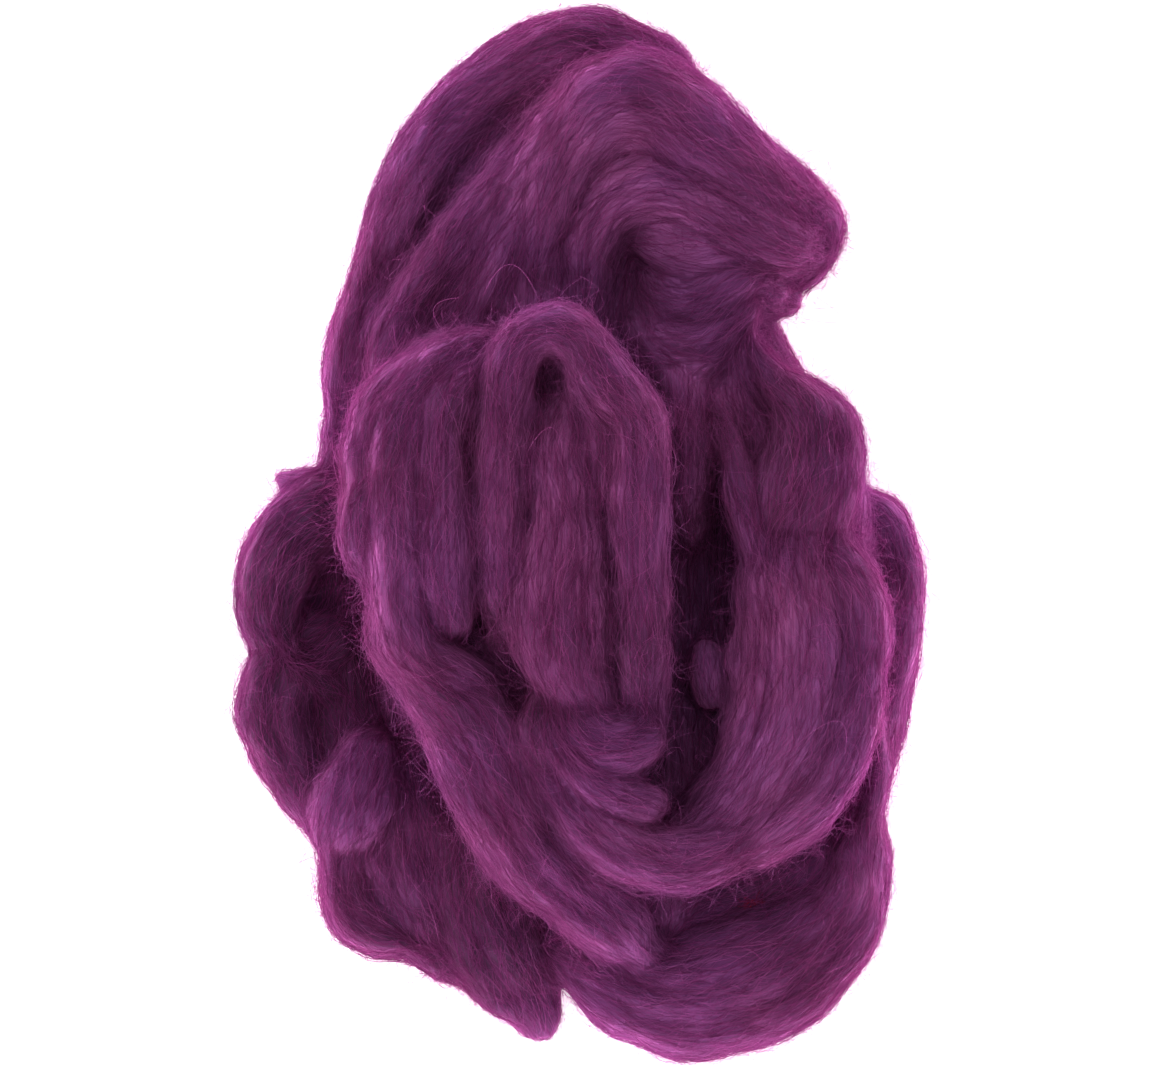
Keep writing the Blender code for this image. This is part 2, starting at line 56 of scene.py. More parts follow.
PASSES = {
    # Hidden folds that the heap lies on.
    "bed_left": Pass(3, 0.10, (
        (12, 100, 10, 50, 26),
        (-6, 66, 10, 62, 26),
        (-20, 25, 10, 64, 26),
        (-23, -15, 10, 58, 26),
        (-17, -55, 10, 56, 28),
        (-6, -88, 10, 46, 26),
    )),
    "bed_right": Pass(3, 0.10, (
        (24, 88, 9, 40, 24),
        (28, 62, 9, 30, 24),
        (40, 30, 7, 40, 20),
        (50, -8, 7, 50, 20),
        (50, -46, 8, 50, 22),
        (36, -80, 8, 52, 22),
    )),
    "bed_middle": Pass(1, 0.0, (
        (22, 50, 11, 34, 26),
        (22, 20, 10, 42, 24),
        (22, -12, 9, 44, 22),
        (22, -45, 10, 44, 24),
        (22, -76, 12, 42, 26),
        (20, -96, 12, 34, 26),
    )),
    "bed_rim": Pass(1, 0.0, (
        (-58, -4, 6, 22, 16),
        (-60, -28, 6, 26, 16),
        (-57, -52, 7, 26, 18),
        (-50, -70, 9, 26, 22),
    )),
    "bed_bottom": Pass(1, 0.0, (
        (64, -76, 10, 24, 22),
        (50, -88, 12, 28, 24),
        (28, -95, 12, 28, 24),
        (8, -98, 12, 24, 24),
    )),
    "core_left": Pass(1, 0.0, (
        (-22, 40, 24, 44, 24),
        (-25, 8, 24, 54, 26),
        (-21, -26, 24, 50, 26),
        (-9, -56, 24, 42, 26),
        (7, -78, 23, 32, 24),
    )),
    "core_right": Pass(1, 0.0, (
        (56, 26, 18, 22, 26),
        (57, 6, 19, 30, 26),
        (57, -18, 20, 34, 26),
        (56, -40, 19, 32, 26),
        (50, -60, 17, 28, 24),
        (38, -74, 16, 24, 22),
    )),
    # Low folds that show round the rim.
    "outer_arch": Pass(2, 0.10, (
        (18, 114.5, 14, 20, 26),
        (-1, 121, 14, 19, 26),
        (-18.5, 112, 13, 18, 26),
        (-32, 100, 12, 18, 26),
        (-41.5, 84.5, 11, 16, 24),
        (-49, 66, 10, 14, 22),
        (-55, 46, 9, 13, 20),
        (-57, 28, 9, 12, 19),
        (-57, 10, 9, 12, 18),
        (-56, 0, 9, 12, 18),
    )),
    "arch_floor": Pass(2, 0.10, (
        (2, 112, 11, 16, 20),
        (-14, 102, 11, 16, 20),
        (-27, 90, 10, 15, 19),
        (-37, 75, 9, 14, 18),
        (-45, 58, 9, 14, 17),
        (-50, 42, 8, 13, 15),
    )),
    "left_shoulder": Pass(3, 0.12, (
        (-50, 8, 11, 16, 20),
        (-62, 5, 12, 20, 25),
        (-71, -3, 12, 21, 26),
        (-75.5, -14, 12, 18, 26),
        (-75, -24, 12, 15, 24),
        (-70, -31, 13, 11, 21),
        (-64, -36, 12, 8, 18),
    )),
    "shoulder_tuft": Pass(1, 0.0, (
        (-59, 8, 10, 14, 18),
        (-66, 11.5, 9, 10, 14),
        (-71, 13, 8, 6, 10),
    )),
    "left_tail": Pass(2, 0.12, (
        (-62, -26, 8, 18, 20),
        (-71.5, -33, 10, 19, 23),
        (-74, -42, 10, 19, 24),
        (-74, -50, 10, 18, 24),
        (-69, -60, 10, 13, 23),
        (-65, -69, 9, 9, 20),
    )),
    "bottom_rim": Pass(2, 0.12, (
        (-58, -64, 10, 16, 24),
        (-58, -78, 11, 14, 25),
        (-57, -90, 11, 15, 25),
        (-50, -97, 11, 16, 25),
        (-40, -98, 11, 16, 24),
        (-32, -101, 10, 14, 22),
    )),
    "bottom_fan": Pass(3, 0.10, (
        (-44, -66, 12, 26, 27),
        (-42, -82, 12, 26, 28),
        (-37, -95, 11, 24, 26),
        (-32, -103, 10, 18, 20),
    )),
    "bottom_tip": Pass(3, 0.08, (
        (-25, -76, 13, 24, 28),
        (-23, -92, 13, 26, 29),
        (-19, -104, 12, 26, 27),
        (-14.5, -112, 10, 21, 22),
        (-11, -118, 8, 15, 17),
        (-10.3, -121, 6, 12, 13),
    )),
    "pink_lobe": Pass(3, 0.08, (
        (-52, -59, 19, 18, 24),
        (-54, -65, 20, 22, 25),
        (-55.5, -70, 17, 22, 23),
        (-56, -72, 14, 20, 20),
    )),
    "right_rim": Pass(2, 0.12, (
        (64, 4, 8, 16, 18),
        (75, 3, 8, 15, 20),
        (80, -8, 9, 13, 20),
        (80, -24, 9, 12, 20),
        (78, -40, 9, 12, 20),
        (74.5, -53, 9, 12, 20),
        (71, -66, 10, 12, 21),
        (70.5, -76, 11, 14, 23),
    )),
    "rim_ridge": Pass(1, 0.0, (
        (75, -49, 17, 5, 14),
        (75, -57, 17, 6, 14),
        (74, -66, 17, 6, 14),
        (72, -73, 17, 6, 14),
    )),
    "bottom_sweep": Pass(4, 0.10, (
        (70, -76, 12, 15, 24),
        (68, -90, 14, 20, 28),
        (57.5, -102, 15, 30, 31),
        (42, -110, 15, 36, 32),
        (25, -113.5, 14, 33, 30),
        (9, -109, 13, 24, 27),
        (-1, -104, 11, 14, 22),
    )),
    # Middle folds: the flow from the top of the heap, and its torn end at the right.
    "flow_left": Pass(1, 0.0, (
        (1, 111, 20, 13, 22),
        (-10, 97, 20, 14, 22),
        (-21, 84, 20, 14, 22),
        (-31, 71, 19, 14, 21),
        (-40, 58, 18, 14, 20),
        (-45, 46, 17, 13, 19),
        (-47, 35, 17, 12, 18),
    )),
    "flow_middle": Pass(2, 0.14, (
        (4, 110, 25, 16, 24),
        (-7, 96, 24, 16, 24),
        (-18, 79, 18, 21, 24),
        (-26, 62, 15, 24, 22),
        (-32, 48, 15, 24, 20),
    )),
    "flow_right": Pass(3, 0.12, (
        (8, 108, 24, 16, 26),
        (0, 92, 20, 18, 22),
        (-6, 76, 17, 20, 20),
        (-9, 60, 16, 22, 20),
        (-10, 46, 16, 24, 22),
    )),
    "lobe_top": Pass(2, 0.08, (
        (-12, 60, 15, 14, 16),
        (-10, 73, 19, 15, 19),
        (-6, 85, 23, 18, 23),
        (-1, 97, 25, 22, 26),
        (8, 106, 26, 25, 29),
        (20, 106, 26, 26, 30),
        (31, 98, 26, 24, 30),
        (42.5, 90, 25, 19, 28),
        (52, 82, 22, 15, 25),
        (57, 77, 18, 12, 20),
    )),
    "lobe_low": Pass(2, 0.06, (
        (3, 59, 17, 12, 20),
        (4, 71, 19, 15, 22),
        (9, 81, 22, 18, 24),
        (18, 86, 24, 21, 25),
        (29, 84, 25, 23, 26),
        (40, 78, 26, 23, 26),
        (49, 73, 25, 19, 25),
        (55, 71, 21, 14, 20),
    )),
    "lobe_tuft": Pass(1, 0.0, (
        (36, 69, 21, 14, 26),
        (43, 63, 18, 14, 24),
        (48, 60, 15, 12, 20),
        (50, 59, 14, 9, 14),
    )),
    "torn_knob": Pass(1, 0.0, (
        (56, 83, 19, 10, 18),
        (60, 79, 18, 11, 19),
        (60.5, 74, 17, 11, 18),
        (57.5, 68, 16, 12, 16),
    )),
    "torn_brow": Pass(1, 0.0, (
        (45, 89, 20, 11, 19),
        (53, 85.5, 18, 11, 17),
        (58.5, 81, 16, 9, 14),
    )),
    "swag_top": Pass(1, 0.0, (
        (18, 75, 18, 12, 18),
        (24, 73, 22, 17, 22),
        (32, 72, 24, 19, 23),
        (41, 73, 25, 15, 21),
    )),
    "swag_high": Pass(1, 0.0, (
        (21, 63, 14, 10, 18),
        (25, 59, 18, 15, 22),
        (32, 58, 22, 16, 22),
        (39, 62, 24, 13, 21),
    )),
    "swag_low": Pass(1, 0.0, (
        (20, 54, 16, 10, 18),
        (24, 48, 20, 14, 22),
        (31, 47, 23, 14, 22),
        (38.5, 53, 24, 11, 20),
    )),
    "swag_foot": Pass(1, 0.0, (
        (18, 47, 19, 9, 18),
        (24, 41.5, 23, 12, 22),
        (32, 41.5, 23, 12, 22),
        (37.5, 48, 21, 9, 20),
    )),
    # Upper folds: the loops in the middle and the long U at the right.
    "front_loop": Pass(2, 0.06, (
        (-17, -22, 34, 12, 20),
        (-18.5, -8, 39, 14, 22),
        (-18.5, 8, 41, 14, 23),
        (-18, 21, 42, 15, 23),
        (-17, 33, 43, 14, 22),
        (-15.5, 42, 44, 14, 22),
        (-11, 48.5, 45, 13, 21),
        (-5, 50, 46, 11.5, 21),
        (0.5, 47.5, 47, 12.5, 21),
        (4, 41.5, 47, 13, 22),
        (8.5, 35.5, 47, 14, 22),
        (14, 29, 47, 15, 22),
        (15.5, 20, 47, 14, 22),
        (15, 8, 46, 15, 22),
        (15.5, -10, 45, 14, 22),
        (16, -26, 43, 14, 22),
        (16.5, -38, 40, 13, 21),
        (17, -46, 37, 11, 20),
    )),
    "loop_floor": Pass(1, 0.0, (
        (-4, 42, 33, 9, 18),
        (-4, 34, 34, 12, 20),
        (-3, 26, 37, 15, 20),
    )),
    "loop_inner": Pass(1, 0.0, (
        (-1, 45, 41, 6, 16),
        (1, 37, 43, 10, 18),
        (6, 29, 43, 10, 19),
        (7, 18, 43, 9, 19),
        (6, 8, 42, 7, 19),
    )),
    "centre_strand": Pass(3, 0.10, (
        (-2, 30, 37, 15, 20),
        (-4, 20, 41, 17, 22),
        (-2.5, 10, 42, 18, 23),
        (-2, 1, 43, 19, 24),
        (-3.5, -12, 44, 24, 25),
        (-3.5, -24, 44, 24, 25),
        (-1.5, -34, 42, 19, 23),
        (3, -42, 39, 14, 20),
    )),
    "limb_one": Pass(2, 0.08, (
        (-27, 45, 36, 9, 18),
        (-34, 40, 39, 14, 21),
        (-41, 31, 40, 16, 22),
        (-44.5, 18, 41, 15, 24),
        (-44.5, 5, 41, 15, 25),
        (-43.5, -8, 40, 15, 24),
        (-43, -20, 38, 15, 24),
        (-39, -29, 37, 15, 23),
        (-32, -34, 37, 14, 22),
        (-25, -37.5, 35, 12, 20),
    )),
    "limb_side": Pass(1, 0.0, (
        (-36, 41, 32, 11, 20),
        (-45, 33, 34, 14, 22),
        (-50, 20, 35, 15, 23),
        (-50.5, 7, 35, 15, 23),
        (-50, -3, 33, 13, 21),
    )),
    "limb_two": Pass(1, 0.0, (
        (-25, 42, 37, 10, 18),
        (-31.5, 34, 41, 13, 22),
        (-33.5, 22, 42, 13, 23),
        (-33.5, 8, 42, 13.5, 23),
        (-33, -7, 42, 13.5, 23),
        (-31.5, -16, 41, 11, 21),
    )),
    "limb_tuft": Pass(1, 0.0, (
        (-51, 9, 38, 12, 21),
        (-53, 1, 38, 11, 20),
        (-53.5, -4, 36, 8, 16),
    )),
    "long_diagonal": Pass(3, 0.12, (
        (-44, -28, 33, 12, 22),
        (-35, -38, 35, 18, 24),
        (-26, -48, 35, 25, 26),
        (-19.5, -60, 34, 26, 27),
        (-12, -74, 32, 25, 27),
        (-2, -86, 30, 21, 26),
        (8, -95, 27, 19, 25),
        (13, -100, 23, 16, 21),
    )),
    "curl_outer": Pass(2, 0.12, (
        (-8, -39, 36, 7, 18),
        (-9.5, -49, 39, 9, 21),
        (-5.5, -60, 39, 13, 22),
        (2, -70, 38, 15, 23),
        (12, -78, 37, 16, 23),
        (24, -81, 34, 16, 23),
        (36, -79, 33, 14, 22),
        (46, -74, 32, 11, 20),
    )),
    "curl_middle": Pass(1, 0.0, (
        (-6, -41, 38, 6, 17),
        (-5.5, -50, 41, 8, 20),
        (-1, -58, 42, 11, 21),
        (6, -64, 42, 12, 22),
        (13, -66, 40, 11, 20),
    )),
    "curl_inner": Pass(1, 0.0, (
        (0, -43, 39, 10, 20),
        (2, -49, 41, 13, 21),
        (7, -52, 42, 17, 23),
        (13, -51, 41, 18, 22),
    )),
    "u_upper": Pass(2, 0.08, (
        (45, 45, 23, 6, 15),
        (50, 37, 27, 10, 21),
        (57, 29, 31, 17, 25),
        (58, 18, 33, 25, 26),
        (55.5, 8, 34, 26, 26),
        (53, -2, 31, 23, 24),
        (53, -12, 26, 20, 20),
    )),
    "upper_edge": Pass(1, 0.0, (
        (58, 35, 27, 7, 16),
        (65, 29, 31, 8, 18),
        (67.5, 21, 32, 8, 20),
        (66.5, 12, 32, 8, 20),
        (64, 4, 31, 7, 18),
        (62, -2, 28, 5, 14),
    )),
    "right_u": Pass(4, 0.10, (
        (54, 2, 30, 24, 20),
        (55, -8, 34, 32, 26),
        (57, -21, 35, 37, 28),
        (57, -34, 35, 38, 28),
        (53, -49, 34, 34, 27),
        (46, -61, 31, 28, 25),
        (37, -71, 29, 22, 24),
        (27, -78, 27, 15, 21),
    )),
    "u_edge": Pass(1, 0.0, (
        (67, -10, 37, 12, 20),
        (71, -17, 38, 12, 21),
        (71.5, -28, 37, 11, 22),
        (70, -42, 37, 11, 22),
        (66, -56, 37, 12, 22),
        (58, -67, 36, 13, 22),
        (47, -76, 34, 12, 22),
    )),
    "u_wisp": Pass(1, 0.0, (
        (36, 31, 28, 6, 16),
        (39, 23, 32, 7, 18),
        (41, 13, 34, 8, 19),
        (43, 4, 35, 8, 20),
        (45, -6, 36, 8, 20),
    )),
    "nook_floor": Pass(1, 0.0, (
        (40, 42, 22, 10, 20),
        (42, 32, 24, 12, 20),
        (44, 22, 26, 13, 20),
    )),
    "gap_lump": Pass(1, 0.0, (
        (33, -32, 27, 10, 14),
        (33.5, -37, 27, 10, 14),
    )),
    "mid_under": Pass(1, 0.0, (
        (27, 37, 22, 18, 26),
        (27, 25, 25, 17, 26),
        (27, 12, 23, 15, 24),
        (28, 3, 16, 12, 18),
    )),
}


# ---------------------------------------------------------------- folds

# Folds that can't be seen. They are swept without furrows.
HIDDEN = ("bed_left", "bed_right", "bed_middle", "bed_rim", "bed_bottom", "core_left", "core_right")
OVAL_POWER = 0.86        # below 1 the oval is a little fuller than an ellipse
END_RINGS = (30, 50, 65, 78, 87)    # where the rings of a rounded end lie on its arc, in degrees
END_ROUNDING = 0.45      # length of a rounded end, as a share of the section's thickness
END_RELIEF = 0.1         # share of the furrows that is left at its tip
RING_STEP = 2.2          # distance between two rings of a fold
UPPER_ARC = (-22, 202)   # the upper part of a ring, in degrees,
UPPER_SHARE = 0.62       # its share of the girth,
LOWER_SHARE = 0.38       # and the share of the underside
ACROSS_STEP = 0.9        # distance between two points across a fold
UNDER_STEP = 4.0         # and across its underside
CREST_POWER = 0.7        # below 1 the crests of the ribs are broader than the grooves between them
CREASE_POWER = 9         # the higher, the narrower the creases along a fold

# Smooth unevenness along a fold: how high it is, and how long and how wide its cells are.
Grain = namedtuple("Grain", "height long wide")
WANDER = Grain(2.2, 45, 26)         # grooves and furrows wander sideways
FADE = Grain(0.25, 40, 15)          # the grooves between the ribs come and go
BROAD = Grain(0.35, 60, 8.0)        # broad furrows
NARROW = Grain(0.16, 42, 3.4)       # narrow furrows
CREASE = Grain(1.3, 70, 15)         # creases, cut where this unevenness passes through zero

SKIN_CELL = 1.65         # cell size at which the folds are pressed into one skin
SKIN_SMOOTHING = 2       # rounds of smoothing where two folds meet
SWELLINGS = ((19.0, 1.5), (9.0, 1.0), (4.5, 0.5))   # size and height of each grade of unevenness
SWELLINGS_FROM = 6.0     # height above the resting plane from which they are at their full height
TONE_SMOOTHING = 4       # rounds of smoothing of the tone from fold to fold
FLOW_SMOOTHING = 5       # rounds of smoothing of the fibres' direction from fold to fold,
FLOW_SHARE = 0.6         # and the share of its neighbours that each round mixes in
FOLD_SHIFT = 37.0        # sets the streaks of one fold apart from those of the next
RUN_SCALE = 0.01         # turns millimetres along and round a fold into its UV

# Painted shade: rays from each point find how much open air it sees past the other folds, and the
# wool's colour is darkened where it sees little.
SKY_RINGS = ((12, 8), (38, 8), (65, 4), (90, 1))    # height in degrees and number of the rays
SKY_START = 0.8          # how far off the skin a ray starts
SKY_REACH = 45.0         # how far off another fold still shades
SKY_FACING = 0.1         # a ray that leaves the skin more flatly than this doesn't count
OPENNESS_SMOOTHING = 2   # rounds of smoothing of the share of open air
SHADE_FROM = (0.25, 0.95)    # shares of open air over which the painted shade lifts
SHADE_TO = (0.38, 1.02)      # what share of the full colour the painted shade leaves there
RIM_GAIN = 0.3           # how much a painted highlight brightens the open steep sides of a fold
RIM_POWER = 1.2          # and how late that sets in, from the top of the fold down


def spline(values, at):
    """Catmull-Rom curve through the rows of values, read at the places in at (0 to rows - 1)."""
    padded = np.vstack([2 * values[0] - values[1], values, 2 * values[-1] - values[-2]])
    index = np.clip(np.floor(at).astype(int), 0, len(values) - 2)
    t = (at - index)[:, None]
    p0, p1, p2, p3 = (padded[index + k] for k in range(4))
    return 0.5 * (2 * p1 + (p2 - p0) * t + (2 * p0 - 5 * p1 + 4 * p2 - p3) * t ** 2
                  + (3 * p1 - p0 - 3 * p2 + p3) * t ** 3)


def unit(vectors):
    return vectors / np.maximum(np.linalg.norm(vectors, axis=-1, keepdims=True), 1e-9)


def streaks(rng, along, across, grain):
    """Smooth noise from -1 to 1 in the cells of a grain; it closes up round the fold."""
    turns = max(2, int(round((across.max() + 1e-6) / grain.wide)))
    rows = int(along.max() / grain.long) + 3
    lattice = rng.uniform(-1, 1, (rows, turns))
    a = np.clip(along / grain.long, 0, rows - 2)
    c = across / (across.max() + 1e-6) * turns
    ai, ci = np.floor(a).astype(int), np.floor(c).astype(int)
    af, cf = a - ai, c - ci
    af, cf = af * af * (3 - 2 * af), cf * cf * (3 - 2 * cf)
    ci0, ci1 = ci % turns, (ci + 1) % turns
    low = lattice[ai, ci0] * (1 - cf) + lattice[ai, ci1] * cf
    high = lattice[ai + 1, ci0] * (1 - cf) + lattice[ai + 1, ci1] * cf
    return low * (1 - af) + high * af


def lengthwise(run):
    """The rings of a pass with its rounded ends: middle, direction, width, thickness and scale."""
    rows = np.array(run.sections, dtype=float)
    chords = np.linalg.norm(np.diff(rows[:, :3], axis=0), axis=1)
    at = []
    for k, chord in enumerate(chords):
        steps = max(2, round(chord / RING_STEP))
        at.append(k + np.arange(steps) / steps)
    track = spline(rows, np.concatenate(at + [[len(rows) - 1.0]]))
    centre, wide, thick = track[:, :3], track[:, 3], track[:, 4]
    ahead = unit(np.gradient(centre, axis=0))
    ends = np.radians(END_RINGS)
    many = len(ends)
    scale = np.concatenate([np.cos(ends)[::-1], np.ones(len(centre)), np.cos(ends)])
    lead = np.sin(ends)[:, None] * END_ROUNDING
    centre = np.vstack([(centre[0] - ahead[0] * lead * thick[0])[::-1], centre,
                        centre[-1] + ahead[-1] * lead * thick[-1]])
    ahead = np.vstack([np.repeat(ahead[:1], many, 0), ahead, np.repeat(ahead[-1:], many, 0)])
    wide = np.concatenate([np.repeat(wide[0], many), wide, np.repeat(wide[-1], many)]) * scale
    thick = np.concatenate([np.repeat(thick[0], many), thick, np.repeat(thick[-1], many)]) * scale
    return centre, ahead, wide, thick, scale


def oval(half_w, half_t):
    """Places round a ring, across it and in height from -1 to 1, sparser on the underside."""
    root = math.sqrt((3 * half_w + half_t) * (half_w + 3 * half_t))
    girth = math.pi * (3 * (half_w + half_t) - root)
    upper = int(girth * UPPER_SHARE / ACROSS_STEP)
    lower = max(6, int(girth * LOWER_SHARE / UNDER_STEP))
    first, last = UPPER_ARC
    angle = np.radians(np.concatenate([np.linspace(first, last, upper, endpoint=False),
                                       np.linspace(last, first + 360, lower, endpoint=False)]))
    across = np.sign(np.cos(angle)) * np.abs(np.cos(angle)) ** OVAL_POWER
    height = np.sign(np.sin(angle)) * np.abs(np.sin(angle)) ** OVAL_POWER
    return across, height


class Fold:
    """The skin of one pass: a grid of points, rings by places round the ring, in millimetres."""

    def __init__(self, name, run, rng):
        centre, ahead, wide, thick, scale = lengthwise(run)
        side = unit(np.stack([ahead[:, 1], -ahead[:, 0], np.zeros(len(ahead))], axis=1))
        up = np.cross(side, ahead)
        self.ahead = ahead
        steps = np.linalg.norm(np.diff(centre, axis=0), axis=1)
        self.length = np.concatenate([[0], np.cumsum(steps)])

        half_w, half_t = wide.max() / 2, thick.max() / 2
        across, height = oval(half_w, half_t)
        ring = np.stack([across * half_w, height * half_t], axis=1)
        gaps = np.linalg.norm(np.diff(np.vstack([ring, ring[:1]]), axis=0), axis=1)
        self.round = np.concatenate([[0], np.cumsum(gaps)[:-1]])

        u, v = np.meshgrid(self.length, self.round, indexing="ij")
        wander = WANDER.height * streaks(rng, u, v, WANDER)
        phase = (across[None, :] + wander / half_w * 0.5 + 1) * math.pi * run.ribs / 2
        crest = np.abs(np.sin(phase)) ** CREST_POWER
        relief = np.ones_like(u)
        if run.ribs > 1:
            fade = 1 - FADE.height + FADE.height * streaks(rng, u, v, FADE)
            relief = 1 - run.groove * 2 * fade * (1 - crest) * (height[None, :] > 0)
        self.points = (centre[:, None, :]
                       + side[:, None] * (across[None, :] * wide[:, None] / 2)[..., None]
                       + up[:, None] * (height[None, :] * relief * thick[:, None] / 2)[..., None])
        if name not in HIDDEN:
            v = (v + wander) % gaps.sum()
            depth = BROAD.height * streaks(rng, u, v, BROAD)
            depth = depth + NARROW.height * streaks(rng, u, v, NARROW)
            furrow = 1 - np.abs(streaks(rng, u, v, CREASE))
            depth = depth - CREASE.height * furrow ** CREASE_POWER
            ease = np.clip(scale, END_RELIEF, 1)[:, None]
            self.points = self.points + self.normals() * (depth * ease)[..., None]
        self.tone = rng.uniform(-1, 1)

    def normals(self):
        du = np.gradient(self.points, axis=0)
        dv = np.roll(self.points, -1, axis=1) - np.roll(self.points, 1, axis=1)
        return unit(np.cross(du, dv))

    def quads(self):
        rows, cols = self.points.shape[:2]
        grid = np.arange(rows * cols).reshape(rows, cols)
        right = np.roll(grid, -1, axis=1)
        return np.stack([grid[:-1], grid[1:], right[1:], right[:-1]], axis=-1).reshape(-1, 4)


def mesh_from_arrays(name, points, faces, sizes):
    """A mesh from points in mm, a flat array of corners and the number of corners of each face."""
    mesh = bpy.data.meshes.new(name)
    mesh.vertices.add(len(points))
    mesh.vertices.foreach_set("co", (points * MM).astype(np.float32).ravel())
    mesh.loops.add(len(faces))
    mesh.loops.foreach_set("vertex_index", faces.astype(np.int32))
    starts = np.concatenate([[0], np.cumsum(sizes)[:-1]])
    mesh.polygons.add(len(sizes))
    mesh.polygons.foreach_set("loop_start", starts.astype(np.int32))
    mesh.update(calc_edges=True)
    mesh.polygons.foreach_set("use_smooth", np.ones(len(sizes), dtype=bool))
    return mesh


def add_values(mesh, label, values):
    attribute = mesh.attributes.new(label, "FLOAT", "POINT")
    attribute.data.foreach_set("value", values.astype(np.float32))


def place_object(name, mesh, material):
    mesh.materials.append(material)
    obj = bpy.data.objects.new(name, mesh)
    bpy.context.collection.objects.link(obj)
    return obj


def pressed_skin(folds):
    """Points (mm) and quads of the one closed skin that all the folds make together."""
    points, faces, sizes, first = [], [], [], 0
    for fold in folds:
        rows, cols = fold.points.shape[:2]
        quads = fold.quads() + first
        head = first + np.arange(cols)
        tail = first + (rows - 1) * cols + np.arange(cols)[::-1]
        faces += [quads.reshape(-1), head, tail]
        sizes += [np.full(len(quads), 4), [cols], [cols]]
        points.append(fold.points.reshape(-1, 3))
        first += rows * cols
    mesh = mesh_from_arrays("folds", np.vstack(points), np.concatenate(faces),
                            np.concatenate(sizes))
    guide = bpy.data.objects.new("guide", mesh)
    bpy.context.collection.objects.link(guide)
    remesh = guide.modifiers.new("skin", "REMESH")
    remesh.mode = "VOXEL"
    remesh.voxel_size = SKIN_CELL * MM
    graph = bpy.context.evaluated_depsgraph_get()
    skin = bpy.data.meshes.new_from_object(guide.evaluated_get(graph))
    bpy.data.objects.remove(guide)
    co = np.empty(len(skin.vertices) * 3, dtype=np.float32)
    skin.vertices.foreach_get("co", co)
    corners = np.empty(len(skin.loops), dtype=np.int32)
    skin.loops.foreach_get("vertex_index", corners)
    co, quads = co.reshape(-1, 3).astype(float) / MM, corners.reshape(-1, 4)
    return outer_shell(co, quads)


def outer_shell(co, quads):
    """Drops all but the largest connected shell."""
    label = np.arange(len(co))
    while True:
        low = label[quads].min(axis=1)
        new = label.copy()
        for k in range(4):
            np.minimum.at(new, quads[:, k], low)
        new = new[new]
        if (new == label).all():
            break
        label = new
    names, counts = np.unique(label, return_counts=True)
    keep = label == names[counts.argmax()]
    index = np.cumsum(keep) - 1
    return co[keep], index[quads[keep[quads[:, 0]]]]


